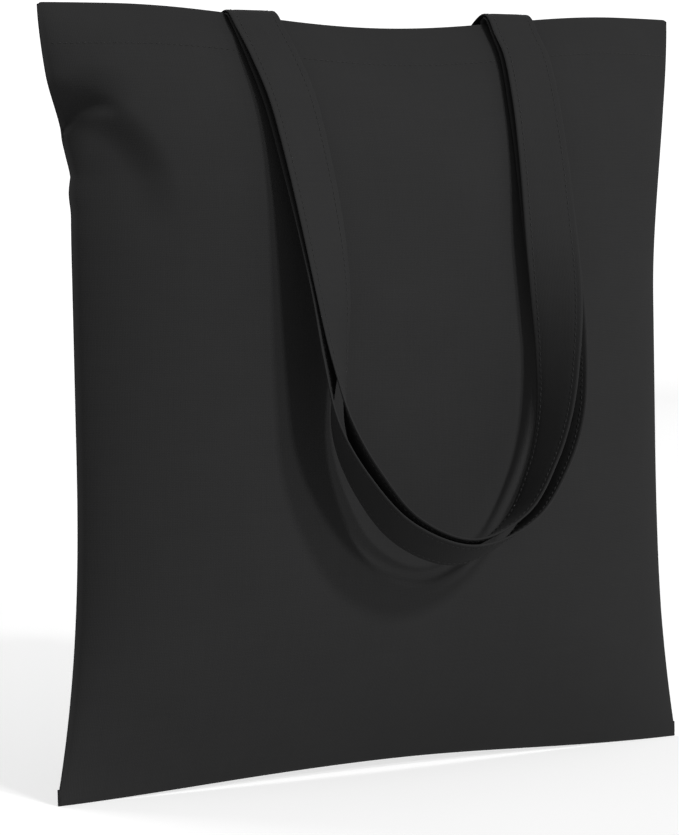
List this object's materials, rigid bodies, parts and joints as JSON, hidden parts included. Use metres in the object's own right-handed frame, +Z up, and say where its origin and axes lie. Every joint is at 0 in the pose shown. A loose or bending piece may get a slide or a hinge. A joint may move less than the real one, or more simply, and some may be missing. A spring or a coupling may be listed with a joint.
{
  "type": "canvas tote bag",
  "caption": "Black canvas tote bag, softly filled out, with an open mouth and two long webbing handles flopped over its front.",
  "frame": {"origin": "on the ground, in the middle of the whole bag's footprint with the handles hanging in front", "axes": "+Z up from the bottom seam to the mouth, -Y towards the front where the handles hang, +X to the right seen from the front"},
  "size_m": [0.38, 0.1629, 0.4101],
  "materials": {
    "canvas": "matt black plain-weave cotton canvas",
    "webbing": "matt black cotton webbing",
    "thread": "black sewing thread"
  },
  "bodies": {
    "bag": {"front_panel": "canvas", "front_hem_fold": "canvas", "front_hem_stitching": "thread", "front_left_strap_end": "webbing", "front_left_strap_fold": "webbing", "front_left_box_stitch": "thread", "front_right_strap_end": "webbing", "front_right_strap_fold": "webbing", "front_right_box_stitch": "thread", "back_panel": "canvas", "back_hem_fold": "canvas", "back_hem_stitching": "thread", "back_left_strap_end": "webbing", "back_left_strap_fold": "webbing", "back_left_box_stitch": "thread", "back_right_strap_end": "webbing", "back_right_strap_fold": "webbing", "back_right_box_stitch": "thread", "left_seam_allowance": "canvas", "right_seam_allowance": "canvas", "bottom_seam_allowance": "canvas", "left_overlock_thread": "thread", "right_overlock_thread": "thread", "bottom_overlock_thread": "thread"},
    "back_handle": {"back_handle_loop": "webbing", "back_handle_outer_stitching": "thread", "back_handle_inner_stitching": "thread"},
    "front_handle": {"front_handle_loop": "webbing", "front_handle_outer_stitching": "thread", "front_handle_inner_stitching": "thread"}
  },
  "joints": [
    {"name": "back_handle_swing", "type": "hinge", "parent": "bag", "child": "back_handle", "pos_m": [0, 0.014, 0.408], "axis": [-1, 0, 0], "range_deg": [0, 165], "deforming": ["back_left_strap_fold", "back_right_strap_fold"]},
    {"name": "front_handle_swing", "type": "hinge", "parent": "bag", "child": "front_handle", "pos_m": [0, 0.014, 0.408], "axis": [-1, 0, 0], "range_deg": [0, 165], "deforming": ["front_left_strap_fold", "front_right_strap_fold"]}
  ],
  "couplings": [
    {"joint": "front_handle_swing", "follows": "back_handle_swing", "ratio": 1}
  ]
}
